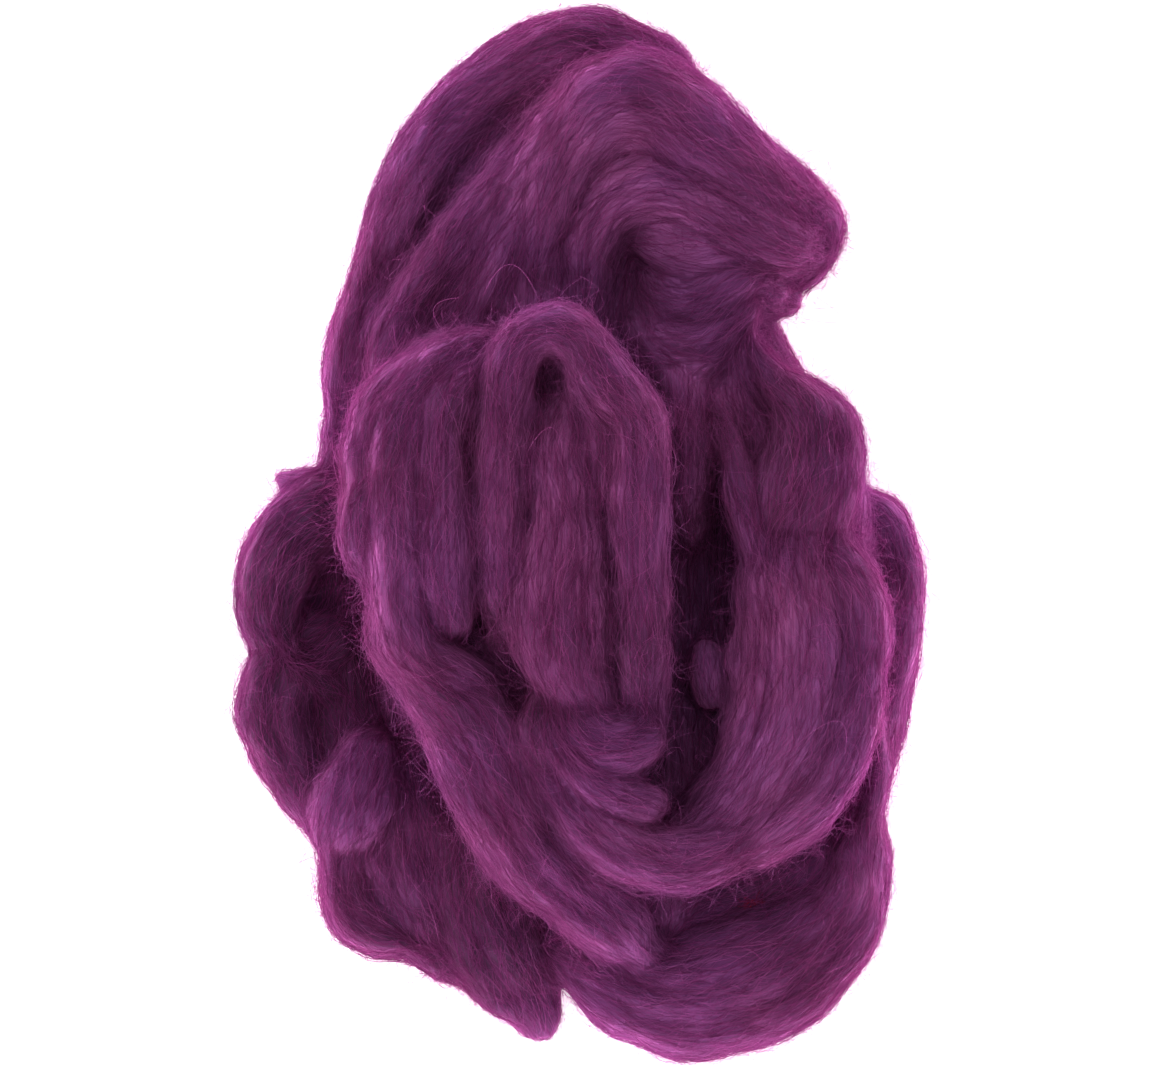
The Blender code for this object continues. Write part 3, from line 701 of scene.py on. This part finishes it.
class Skin:
    """The heap's closed skin, with the direction of the fibres and their place in their fold."""

    def __init__(self, folds):
        self.co, self.quads = pressed_skin(folds)
        edges = [self.quads[:, [k, (k + 1) % 4]] for k in range(4)]
        self.pairs = np.unique(np.sort(np.concatenate(edges), axis=1), axis=0)
        self.counts = np.bincount(self.pairs.ravel(), minlength=len(self.co)).astype(float)
        self.co = self.smoothed(self.co, SKIN_SMOOTHING)
        self.co = self.co + self.point_normals() * self.unevenness()[:, None]
        self.co[:, 2] = np.maximum(self.co[:, 2], 0.0)
        self.normal = self.point_normals()
        self.tree = BVHTree.FromPolygons(self.co.tolist(), self.quads.tolist())

        fold_of, ahead, self.place = self.nearest_fold(folds)
        tensor = self.smoothed(ahead[:, :, None] * ahead[:, None, :], FLOW_SMOOTHING, FLOW_SHARE)
        self.flow = np.linalg.eigh(tensor)[1][:, :, 2]
        tone = np.array([fold.tone for fold in folds])[fold_of]
        self.tone = self.smoothed(tone, TONE_SMOOTHING)
        # Painted shade deep between the folds, and a painted highlight on their open steep sides,
        # kept as the shade of each point.
        sky = self.smoothed(self.sky_share(), OPENNESS_SMOOTHING)
        steep = np.clip(1 - self.normal[:, 2], 0, 1) ** RIM_POWER
        self.shade = np.interp(sky, SHADE_FROM, SHADE_TO) * (1 + RIM_GAIN * steep * sky)

    def smoothed(self, values, rounds, share=0.5):
        """The values after rounds of mixing in a share of the mean of each point's neighbours."""
        first, second = self.pairs[:, 0], self.pairs[:, 1]
        counts = self.counts.reshape((-1,) + (1,) * (values.ndim - 1))
        for _ in range(rounds):
            total = np.zeros_like(values)
            np.add.at(total, first, values[second])
            np.add.at(total, second, values[first])
            values = (1 - share) * values + share * (total / counts)
        return values

    def nearest_fold(self, folds):
        """The number of the fold nearest each point, its direction there and the place along it."""
        points, faces, fold_of, ahead, place, first = [], [], [], [], [], 0
        for number, fold in enumerate(folds):
            rows, cols = fold.points.shape[:2]
            quads = fold.quads()
            points.append(fold.points.reshape(-1, 3))
            faces.append(quads + first)
            ring, spot = quads[:, 0] // cols, quads[:, 0] % cols
            fold_of.append(np.full(len(quads), number))
            ahead.append(fold.ahead[ring])
            round_it = fold.round[spot] + FOLD_SHIFT * number
            place.append(np.stack([fold.length[ring], round_it], axis=1))
            first += rows * cols
        fold_of, ahead, place = (np.concatenate(part) for part in (fold_of, ahead, place))
        tree = BVHTree.FromPolygons(np.vstack(points).tolist(), np.vstack(faces).tolist())
        hit = np.array([tree.find_nearest(spot)[2] for spot in self.co.tolist()])
        return fold_of[hit], ahead[hit], place[hit]

    def unevenness(self):
        """Soft hollows and swellings, in millimetres, that break up the roundness of the folds."""
        raised = np.zeros(len(self.co))
        for size, height in SWELLINGS:
            grade = [noise.noise(Vector(spot)) for spot in (self.co / size).tolist()]
            raised += height * np.array(grade)
        return raised * np.clip(self.co[:, 2] / SWELLINGS_FROM, 0, 1)

    def sky_share(self):
        """How much of the air on its own side each point sees past the other folds, from 0 to 1."""
        rays = []
        for height, many in SKY_RINGS:
            level, rise = math.cos(math.radians(height)), math.sin(math.radians(height))
            for k in range(many):
                turn = 2 * math.pi * k / many
                rays.append((level * math.cos(turn), level * math.sin(turn), rise))
        facing = np.clip(self.normal @ np.array(rays).T, 0.0, None)
        starts = (self.co + self.normal * SKY_START).tolist()
        ways = [Vector(ray) for ray in rays]
        cast = self.tree.ray_cast
        seen = np.zeros_like(facing)
        for k, start in enumerate(starts):
            spot = Vector(start)
            for r in np.nonzero(facing[k] > SKY_FACING)[0]:
                seen[k, r] = cast(spot, ways[r], SKY_REACH)[0] is None
        facing = np.where(facing > SKY_FACING, facing, 0.0)
        return (seen * facing).sum(axis=1) / np.maximum(facing.sum(axis=1), 1e-6)

    def point_normals(self):
        a, b, c, d = (self.co[self.quads[:, k]] for k in range(4))
        face = np.cross(c - a, d - b)
        total = np.zeros_like(self.co)
        for k in range(4):
            np.add.at(total, self.quads[:, k], face)
        return unit(total)

    def mesh(self, name):
        mesh = mesh_from_arrays(name, self.co, self.quads.reshape(-1), np.full(len(self.quads), 4))
        layer = mesh.uv_layers.new(name="run")
        corners = (self.place * RUN_SCALE)[self.quads.reshape(-1)]
        layer.data.foreach_set("uv", corners.astype(np.float32).ravel())
        add_values(mesh, "tone", self.tone)
        add_values(mesh, "shade", self.shade)
        return mesh


# ---------------------------------------------------------------- fibres

SUBSTEPS = 2             # steps of the tracing between two points of a fibre
THINNEST = 0.6           # the thinnest fibre, as a share of its kind's radius
LIFT_SPREAD = (1.6, 0.6)    # shape and scale of the gamma spread of how high fibres arch
CLEARANCE = 0.05         # what every fibre rises beyond its arch,
TUCK = 0.16              # and how much its two ends dip
LOOSE_RISE = 3.0         # the tip of a loose fibre rises this much farther than an arch,
LOOSE_POWER = 1.5        # and this is how late it leaves the skin
FARTHEST = 7.5           # how far the tip of a loose fibre stands off at most
SWAY = 1.4               # sideways unevenness, as a share of that in height
LOWEST = 0.1             # no fibre lies lower than this

# Fibres start where the skin can be seen.
START_GAP = 0.6          # how far off the skin a ray starts
START_REACH = 60.0       # and how far it has to run free
UNDERSIDE = -0.35        # where the normal rises less than this is the underside
LOWEST_START = 0.3       # no fibre starts lower than this

# A kind of fibre: how many, points of each, the shortest and longest, how far it turns from the
# run of the fold and wanders on its way, how high it arches, how uneven it is, the share of loose
# ones, the thickest radius and the mean tone.
Laid = namedtuple("Laid", "name count points short long turn wander lift wave free radius tone")


def trace(skin, starts, turn, step, wander, points, rng):
    """Follows the run of the wool on the skin: each fibre's points, outward directions, painted
    shade.
    """
    many = (points - 1) * SUBSTEPS
    find = skin.tree.find_nearest
    quads, flow, normal = skin.quads[:, 0], skin.flow, skin.normal
    paths = np.empty((len(starts), points, 3))
    outward = np.empty((len(starts), points, 3))
    under = np.empty((len(starts), points), dtype=int)
    bends = rng.normal(0, 1, (len(starts), many)) * wander
    for k, start in enumerate(starts):
        spot = Vector(skin.co[start])
        out, ahead = normal[start], flow[start]
        heading = ahead if rng.random() < 0.5 else -ahead
        angle = turn[k]
        paths[k, 0], outward[k, 0], under[k, 0] = spot, out, start
        for s in range(many):
            angle += bends[k, s]
            aside = np.cross(out, heading)
            way = heading * math.cos(angle) + aside * math.sin(angle)
            way = way - out * (way @ out)
            way = way / math.sqrt(way @ way + 1e-12)
            hit = find(Vector(np.array(spot) + way * step[k]))
            spot, vert = hit[0], quads[hit[2]]
            out, ahead = normal[vert], flow[vert]
            heading = ahead if ahead @ way > 0 else -ahead
            if s % SUBSTEPS == SUBSTEPS - 1:
                place = s // SUBSTEPS + 1
                paths[k, place], outward[k, place], under[k, place] = spot, out, vert
    return paths, outward, skin.shade[under]


def fibre_mesh(name, paths, outward, radius, tone, shade):
    """Closed three-sided fibres, pointed at both ends, along paths (fibres, points, 3).

    The radius and the tone are one number for all fibres or a number for each.
    """
    count, many = paths.shape[:2]
    radius, tone = np.broadcast_to(radius, count), np.broadcast_to(tone, count)
    ahead = unit(np.gradient(paths, axis=1))
    side = unit(np.cross(ahead, outward))
    rise = np.cross(side, ahead)
    body = slice(1, many - 1)
    corners = []
    for degrees in (90, 210, 330):
        turn = math.radians(degrees)
        offset = side[:, body] * math.cos(turn) + rise[:, body] * math.sin(turn)
        corners.append(paths[:, body] + offset * radius[:, None, None])
    rings = np.stack(corners, axis=2).reshape(count, -1, 3)
    points = np.concatenate([paths[:, :1], rings, paths[:, -1:]], axis=1)
    each = points.shape[1]
    tris = []
    tail = 1 + 3 * (many - 3)
    for k in range(3):
        n = (k + 1) % 3
        tris += [(0, 1 + n, 1 + k), (tail + k, tail + n, each - 1)]
        for r in range(many - 3):
            a = 1 + 3 * r
            tris += [(a + k, a + n, a + 3 + n), (a + k, a + 3 + n, a + 3 + k)]
    faces = (np.array(tris)[None] + (np.arange(count) * each)[:, None, None]).reshape(-1)
    mesh = mesh_from_arrays(name, points.reshape(-1, 3), faces, np.full(len(faces) // 3, 3))
    add_values(mesh, "tone", np.repeat(tone, each))
    rings = np.repeat(shade[:, body], 3, axis=1)
    add_values(mesh, "shade", np.concatenate([shade[:, :1], rings, shade[:, -1:]], axis=1).ravel())
    return mesh


def open_points(skin):
    """Numbers of the skin's points that see open air above them or straight out."""
    lift = skin.co + skin.normal * START_GAP
    seen = np.zeros(len(lift), dtype=bool)
    up = Vector((0, 0, 1))
    cast = skin.tree.ray_cast
    for k in range(len(lift)):
        if skin.normal[k, 2] < UNDERSIDE or skin.co[k, 2] < LOWEST_START:
            continue
        spot, out = Vector(lift[k]), Vector(skin.normal[k])
        seen[k] = cast(spot, up)[0] is None or cast(spot, out, START_REACH)[0] is None
    return np.nonzero(seen)[0]


def laid_fibres(skin, spots, count, rng, kind):
    """Fibres of one kind from random spots: their lifted paths, outward directions and painted
    shade.
    """
    starts = rng.choice(spots, count)
    long = rng.uniform(kind.short, kind.long, count)
    step = long / ((kind.points - 1) * SUBSTEPS)
    turn = rng.normal(0, kind.turn, count)
    paths, outward, shade = trace(skin, starts, turn, step, kind.wander, kind.points, rng)
    t = np.linspace(0, 1, kind.points)[None, :]
    tall = kind.lift * rng.gamma(*LIFT_SPREAD, (count, 1))
    rise = tall * np.sin(math.pi * t) + CLEARANCE - TUCK * (np.abs(t - 0.5) * 2) ** 4
    loose = rng.uniform(0, 1, (count, 1)) < kind.free
    rise = np.where(loose, tall * LOOSE_RISE * t ** LOOSE_POWER, rise)
    bumps = kind.wave * np.abs(rng.normal(0, 1, (count, kind.points)))
    rise = np.minimum(rise, FARTHEST) + bumps
    aside = unit(np.cross(outward, np.gradient(paths, axis=1)))
    sway = kind.wave * SWAY * rng.normal(0, 1, (count, kind.points))
    paths = paths + outward * rise[..., None] + aside * sway[..., None]
    paths[..., 2] = np.maximum(paths[..., 2], LOWEST)
    return paths, outward, shade


def mixed_mesh(kind, paths, outward, shade, rng):
    """The mesh of one kind of fibre, in which every fibre has its own radius and tone."""
    radius = kind.radius * rng.uniform(THINNEST, 1.0, len(paths))
    tone = rng.normal(kind.tone, 1.0, len(paths))
    return fibre_mesh(kind.name, paths, outward, radius, tone, shade)


# ---------------------------------------------------------------- materials

def feed(tree, socket, value):
    """Sets an input to a value, or links it to another node's output."""
    if isinstance(value, bpy.types.NodeSocket):
        tree.links.new(value, socket)
    else:
        socket.default_value = value


def node(tree, kind, **settings):
    """A new node. A setting that starts with in_ feeds an input, any other sets a property."""
    made = tree.nodes.new(kind)
    for name, value in settings.items():
        if name.startswith("in_"):
            feed(tree, made.inputs[name[3:].replace("_", " ")], value)
        else:
            setattr(made, name, value)
    return made


def calculate(tree, operation, *values):
    """The result of a Math node on some values or outputs."""
    made = node(tree, "ShaderNodeMath", operation=operation)
    for socket, value in zip(made.inputs, values):
        feed(tree, socket, value)
    return made.outputs[0]


def colour_mix(tree, factor, first, second, blend="MIX"):
    """Two colours mixed. The node has sockets of other kinds too, under the same names."""
    made = node(tree, "ShaderNodeMix", data_type="RGBA", blend_type=blend)
    sockets = {socket.identifier: socket for socket in [*made.inputs, *made.outputs]}
    feed(tree, sockets["Factor_Float"], factor)
    feed(tree, sockets["A_Color"], first)
    feed(tree, sockets["B_Color"], second)
    return sockets["Result_Color"]


def noise_in(tree, place, **settings):
    """Noise, from 0 to 1, at a place."""
    return node(tree, "ShaderNodeTexNoise", in_Vector=place, **settings).outputs["Fac"]


def value_of(tree, label):
    """A value that every point of the mesh carries."""
    return node(tree, "ShaderNodeAttribute", attribute_name=label).outputs["Fac"]


def new_material(name, look):
    """A material, its nodes and its shader, with the inputs that look names."""
    material = bpy.data.materials.new(name)
    material.use_nodes = True
    tree = material.node_tree
    shader = tree.nodes["Principled BSDF"]
    for label, value in look.items():
        shader.inputs[label].default_value = value
    return material, tree, shader


# A dye at its darkest, at its most usual and at its palest.
Dye = namedtuple("Dye", "deep mid light")
PURPLE = Dye((0.080, 0.028, 0.070, 1.0), (0.180, 0.043, 0.155, 1.0), (0.420, 0.120, 0.350, 1.0))
CARDED_RED = Dye((0.16, 0.01, 0.02, 1.0), (0.42, 0.02, 0.05, 1.0), (0.60, 0.06, 0.10, 1.0))
DYE_STOPS = (0.22, 0.50, 0.80)       # where the three stand on the ramp
PATCH_SCALE = 16.0                   # paler and darker patches a metre
DRIFT_SCALE = 26.0                   # drifts of hue a metre,
DRIFT_RANGE = (0.36, 0.64)           # and the part of their noise that they spread over
WARM = (1.04, 0.95, 0.93, 1.0)       # the dye drifts from a redder purple
COOL = (0.96, 0.98, 1.05, 1.0)       # to a bluer one
STREAK_SCALE = (1.2, 160.0, 1.0)     # streaks are long along the run and narrow across it
STREAK_SHARE = 0.9                   # how much they colour the skin,
STREAK_MEAN = 0.45                   # what they would add to it on average,
STREAK_RELIEF = 0.8                  # how strongly they mark it
STREAK_HEIGHT = 0.0004               # and how high they are, in metres
GLOW = (0.80, 0.17, 0.58, 1.0)       # light that has come through a fibre
GLOW_SHARE = 0.33                    # and how much of it there is
PAINTED_SHEEN_COLOUR = (0.85, 0.27, 0.66, 1.0)       # painted sheen: a paler colour where a fold turns away from the eye
PAINTED_SHEEN_POWER = 1.9                     # how late it sets in
PAINTED_SHEEN_SHARE = 0.3                     # and how much of it there is
# The shader of soft wool.
SOFT = {
    "Roughness": 0.75,
    "Specular IOR Level": 0.0,
    "Sheen Weight": 0.5,
    "Sheen Roughness": 0.3,
    "Sheen Tint": (1.0, 0.13, 0.60, 1.0),
}


def streaked(tree, factor, shader):
    """Adds fine streaks along the run of the wool to the factor, and to the shader as relief."""
    run = node(tree, "ShaderNodeUVMap", uv_map="run").outputs["UV"]
    stretch = node(tree, "ShaderNodeMapping", in_Vector=run, in_Scale=STREAK_SCALE)
    fine = noise_in(tree, stretch.outputs["Vector"], in_Scale=1.0, in_Detail=5.0, in_Roughness=0.62)
    relief = node(tree, "ShaderNodeBump", in_Strength=STREAK_RELIEF, in_Distance=STREAK_HEIGHT,
                  in_Height=fine)
    feed(tree, shader.inputs["Normal"], relief.outputs["Normal"])
    mixed = calculate(tree, "MULTIPLY_ADD", fine, STREAK_SHARE, factor)
    return calculate(tree, "SUBTRACT", mixed, STREAK_MEAN)


def dyed(tree, factor, dye, place):
    """The colour of the dye: its ramp over the factor, under a slow drift of hue."""
    ramp = node(tree, "ShaderNodeValToRGB", in_Fac=factor)
    stops = ramp.color_ramp.elements
    stops[0].position, stops[0].color = DYE_STOPS[0], dye.deep
    stops[1].position, stops[1].color = DYE_STOPS[2], dye.light
    stops.new(DYE_STOPS[1]).color = dye.mid
    drift = noise_in(tree, place, in_Scale=DRIFT_SCALE, in_Detail=3.0, in_Roughness=0.6)
    spread = node(tree, "ShaderNodeMapRange", in_Value=drift, in_From_Min=DRIFT_RANGE[0],
                  in_From_Max=DRIFT_RANGE[1])
    hue = colour_mix(tree, spread.outputs["Result"], WARM, COOL)
    return colour_mix(tree, 1.0, ramp.outputs["Color"], hue, "MULTIPLY")


def painted_edge_sheen(tree, colour):
    """The colour with a painted sheen, paler where the skin turns away from the eye."""
    edge = node(tree, "ShaderNodeLayerWeight", in_Blend=0.5).outputs["Facing"]
    steep = calculate(tree, "POWER", edge, PAINTED_SHEEN_POWER)
    return colour_mix(tree, calculate(tree, "MULTIPLY", steep, PAINTED_SHEEN_SHARE), colour, PAINTED_SHEEN_COLOUR)


def let_light_through(tree, shader):
    """Mixes light that has come through a fibre into its shader."""
    glow = node(tree, "ShaderNodeBsdfTranslucent", in_Color=GLOW)
    both = node(tree, "ShaderNodeMixShader", in_Fac=GLOW_SHARE)
    feed(tree, both.inputs[1], shader.outputs["BSDF"])
    feed(tree, both.inputs[2], glow.outputs["BSDF"])
    feed(tree, tree.nodes["Material Output"].inputs["Surface"], both.outputs["Shader"])


def wool_material(name, dye, tone_share, is_skin=False, is_thin=False):
    """Dyed wool with slow changes of colour and a soft sheen, with painted shade between the folds
    and a painted highlight on their open sides.
    """
    material, tree, shader = new_material(name, SOFT)
    place = node(tree, "ShaderNodeTexCoord").outputs["Object"]
    slow = noise_in(tree, place, in_Scale=PATCH_SCALE, in_Detail=3.0)
    factor = calculate(tree, "MULTIPLY_ADD", value_of(tree, "tone"), tone_share, slow)
    if is_skin:
        factor = streaked(tree, factor, shader)
    # Painted shade: the dye's colour is scaled by the shade that each point carries.
    shaded = node(tree, "ShaderNodeVectorMath", operation="SCALE",
                  in_Scale=value_of(tree, "shade"))
    feed(tree, shaded.inputs[0], dyed(tree, factor, dye, place))
    colour = shaded.outputs[0]
    # On the skin, a painted sheen pales the colour where it turns away from the eye.
    if is_skin:
        colour = painted_edge_sheen(tree, colour)
    feed(tree, shader.inputs["Base Color"], colour)
    if is_thin:
        let_light_through(tree, shader)
    return material


WOOL = wool_material("wool_skin", PURPLE, tone_share=0.10, is_skin=True)
FIBRE = wool_material("wool_fibres", PURPLE, tone_share=0.36, is_thin=True)
RED = wool_material("red_wool", CARDED_RED, tone_share=0.20)


# ---------------------------------------------------------------- the heap

# The fibres that cover the heap, from the longest and straightest to loose down and strays.
LAID = (
    Laid("wool_fibres_1", 8000, 5, 9, 26, 0.16, 0.07, 0.35, 0.10, 0.10, 0.066, 0.0),
    Laid("wool_fibres_2", 8000, 5, 9, 26, 0.20, 0.08, 0.50, 0.12, 0.10, 0.062, 0.0),
    Laid("wool_fibres_3", 8000, 5, 7, 20, 0.26, 0.10, 0.70, 0.14, 0.15, 0.052, 0.1),
    Laid("wool_fibres_4", 6600, 5, 7, 18, 0.40, 0.14, 0.90, 0.16, 0.20, 0.044, 0.3),
    Laid("wool_down", 6600, 5, 4, 14, 1.1, 0.30, 1.00, 0.20, 0.40, 0.042, 0.9),
    Laid("wool_strays", 150, 14, 14, 44, 0.9, 0.10, 1.50, 0.10, 0.25, 0.040, 1.2),
)

# The short down that stands off wherever the heap turns away from above.
HALO = Laid("wool_halo", 7000, 5, 4, 11, 1.0, 0.5, 1.6, 0.25, 0.8, 0.032, 0.8)
HALO_STEEP = 0.55        # the down grows where the skin's normal rises less than this

# The frizz where the wool is torn or rubbed. Each of its places has a count of its own.
TORN = Laid("wool_frizz", None, 7, 3, 11, 1.6, 0.45, 1.1, 0.22, 0.6, 0.036, 1.0)
Frizz = namedtuple("Frizz", "x y reach count")
FRIZZ = (
    Frizz(60, 80, 13, 320),
    Frizz(62, 69, 9, 260),
    Frizz(51, 59, 7, 160),
    Frizz(45, 52, 6, 90),
    Frizz(69, -5, 8, 200),
    Frizz(58, 86, 8, 120),
    Frizz(28, 121, 9, 110),
    Frizz(-71, 13, 7, 120),
    Frizz(-38, -107, 8, 130),
    Frizz(-31, -113, 8, 130),
    Frizz(-64, -92, 9, 90),
    Frizz(-82, -38, 9, 110),
    Frizz(-23, 53, 8, 120),
    Frizz(-53, 33, 7, 110),
    Frizz(36, 30, 8, 110),
    Frizz(24, -76, 7, 90),
)


def spots_near(skin, spots, x, y, reach):
    """Numbers of the open points that lie within reach of a place, seen from above."""
    return spots[np.hypot(skin.co[spots, 0] - x, skin.co[spots, 1] - y) < reach]


rng = np.random.default_rng(SEED)
folds = [Fold(name, run, rng) for name, run in PASSES.items()]
skin = Skin(folds)
spots = open_points(skin)
share = 1
pieces = [place_object("wool_body", skin.mesh("wool_body"), WOOL)]

steep = spots[skin.normal[spots, 2] < HALO_STEEP]
for kind in (*LAID, HALO):
    ground = steep if kind is HALO else spots
    laid = laid_fibres(skin, ground, kind.count // share, rng, kind)
    pieces.append(place_object(kind.name, mixed_mesh(kind, *laid, rng), FIBRE))

patches = []
for patch in FRIZZ:
    near = spots_near(skin, spots, patch.x, patch.y, patch.reach)
    if len(near):
        patches.append(laid_fibres(skin, near, patch.count // share, rng, TORN))
laid = [np.vstack(part) for part in zip(*patches)]
pieces.append(place_object(TORN.name, mixed_mesh(TORN, *laid, rng), FIBRE))

# Single hairs that bow out from the heap: where they start, bow out to and end, and how high
# the bow is.
Hair = namedtuple("Hair", "x0 y0 x1 y1 x2 y2 z")
HAIRS = (
    Hair(-64, -80, -74, -88, -63, -98, 9),
    Hair(-65, -76, -71, -90, -66, -101, 7),
    Hair(-84, -10, -89, -22, -82, -34, 12),
    Hair(-72, 14, -78, 17, -74, 8, 12),
    Hair(-45, -106, -42, -112, -36, -109, 6),
    Hair(-33, -113, -30, -120, -25, -117, 6),
    Hair(62, 66, 68, 58, 57, 56, 18),
    Hair(58, 60, 66, 53, 54, 54, 15),
    Hair(64, 88, 60, 95, 54, 92, 22),
    Hair(82, -52, 87, -60, 80, -72, 12),
    Hair(52, -54, 64, -46, 66, -55, 53),
    Hair(-23, 58, -16, 66, -9, 57, 56),
    Hair(-30, 47, -35, 55, -28, 58, 52),
    Hair(-12, 20, -6, 26, -3, 18, 58),
)
HAIR_POINTS = 14
HAIR_DROP = 2            # how much lower the two ends of a hair are than its bow
HAIR_RADIUS = 0.055
HAIR_TONE = 1.0

starts = np.array([(h.x0, h.y0, h.z - HAIR_DROP) for h in HAIRS], dtype=float)[:, None]
bows = np.array([(h.x1, h.y1, h.z) for h in HAIRS], dtype=float)[:, None]
ends = np.array([(h.x2, h.y2, h.z - HAIR_DROP) for h in HAIRS], dtype=float)[:, None]
t = np.linspace(0, 1, HAIR_POINTS)[None, :, None]
hairs = (1 - t) ** 2 * starts + 2 * t * (1 - t) * (2 * bows - (starts + ends) / 2) + t ** 2 * ends
upward = np.broadcast_to(np.array((0.0, 0.0, 1.0)), hairs.shape)
shade = np.ones(hairs.shape[:2])
mesh = fibre_mesh("wool_hairs", hairs, upward, HAIR_RADIUS, HAIR_TONE, shade)
pieces.append(place_object("wool_hairs", mesh, FIBRE))

# One fleck of red wool that was carded in with the purple. Its fibres are all alike.
FLECK = Laid("red_fleck", 26, 7, 2, 5, 1.6, 0.5, 0.8, 0.15, 0.3, 0.07, 0.0)
FLECK_PLACE = (43.7, -91.4)
FLECK_REACH = 0.9

near = spots_near(skin, spots, *FLECK_PLACE, FLECK_REACH)
laid, out, shade = laid_fibres(skin, near, FLECK.count, rng, FLECK)
mesh = fibre_mesh(FLECK.name, laid, out, FLECK.radius, FLECK.tone, shade)
pieces.append(place_object(FLECK.name, mesh, RED))

for piece in pieces:
    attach(piece, "root")
    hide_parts("roving")


# ---------------------------------------------------------------- stage, light and camera

FRAME_WIDTH = 287.5      # what the picture takes in, left to right, at the resting plane
CAMERA_PLACE = (-0.25, 0.25, 3000.0)
SENSOR = 36.0
BASE_GLOW = 5.6          # how strongly the white base lights the wool from below and beside
BASE_HALF = 6.0          # metres from the middle of the base to its edges
BASE_DROP = 0.0003       # and how far it lies below the heap, in metres
WORLD_STRENGTH = 0.45    # even light from the whole room
WHITE = (1, 1, 1, 1)
BASE_LOOK = {"Base Color": (0.9, 0.9, 0.9, 1), "Roughness": 0.9, "Emission Color": WHITE}

# Round lamps that face the heap: size and place in metres, power in watts.
Lamp = namedtuple("Lamp", "name size power place colour")
LAMPS = (
    Lamp("near left", 0.6, 8.0, (-1.15, -0.60, 0.52), (1.0, 0.95, 0.95)),
    Lamp("near", 0.6, 5.5, (0.0, -1.30, 0.52), (1.0, 0.95, 0.95)),
    Lamp("far", 0.6, 3.5, (0.0, 1.30, 0.52), (0.90, 0.92, 1.0)),
    Lamp("above", 1.0, 2.0, (-0.40, 0.40, 1.30), (1.0, 1.0, 1.0)),
)


def base_material():
    """White to the camera, and a stronger light to everything else."""
    material, tree, shader = new_material("floor", BASE_LOOK)
    to_camera = node(tree, "ShaderNodeLightPath").outputs["Is Camera Ray"]
    strength = calculate(tree, "MULTIPLY_ADD", to_camera, 1.0 - BASE_GLOW, BASE_GLOW)
    feed(tree, shader.inputs["Emission Strength"], strength)
    return material


def add_floor():
    signs = ((-1, -1), (1, -1), (1, 1), (-1, 1))
    mesh = bpy.data.meshes.new("floor")
    mesh.from_pydata([(x * BASE_HALF, y * BASE_HALF, 0) for x, y in signs], [], [(0, 1, 2, 3)])
    floor = place_object("floor", mesh, base_material())
    floor.location.z = -BASE_DROP


def add_lamp(lamp):
    light = bpy.data.lights.new(lamp.name, "AREA")
    light.shape = "DISK"
    light.size = lamp.size
    light.energy = lamp.power
    light.color = lamp.colour
    holder = bpy.data.objects.new(lamp.name, light)
    holder.location = lamp.place
    holder.rotation_euler = (-Vector(lamp.place)).to_track_quat("-Z", "Y").to_euler()
    bpy.context.collection.objects.link(holder)


add_floor()
for lamp in LAMPS:
    add_lamp(lamp)
world = bpy.data.worlds.new("studio")
world.use_nodes = True
sky = world.node_tree.nodes["Background"]
sky.inputs["Color"].default_value = WHITE
sky.inputs["Strength"].default_value = WORLD_STRENGTH
bpy.context.scene.world = world
bpy.context.scene.view_settings.view_transform = "Standard"

camera = bpy.data.cameras.new("camera")
camera.sensor_width = SENSOR
camera.lens = SENSOR * CAMERA_PLACE[2] / FRAME_WIDTH
camera.clip_end = 20.0
eye = bpy.data.objects.new("camera", camera)
eye.location = [value * MM for value in CAMERA_PLACE]
bpy.context.collection.objects.link(eye)
bpy.context.scene.camera = eye
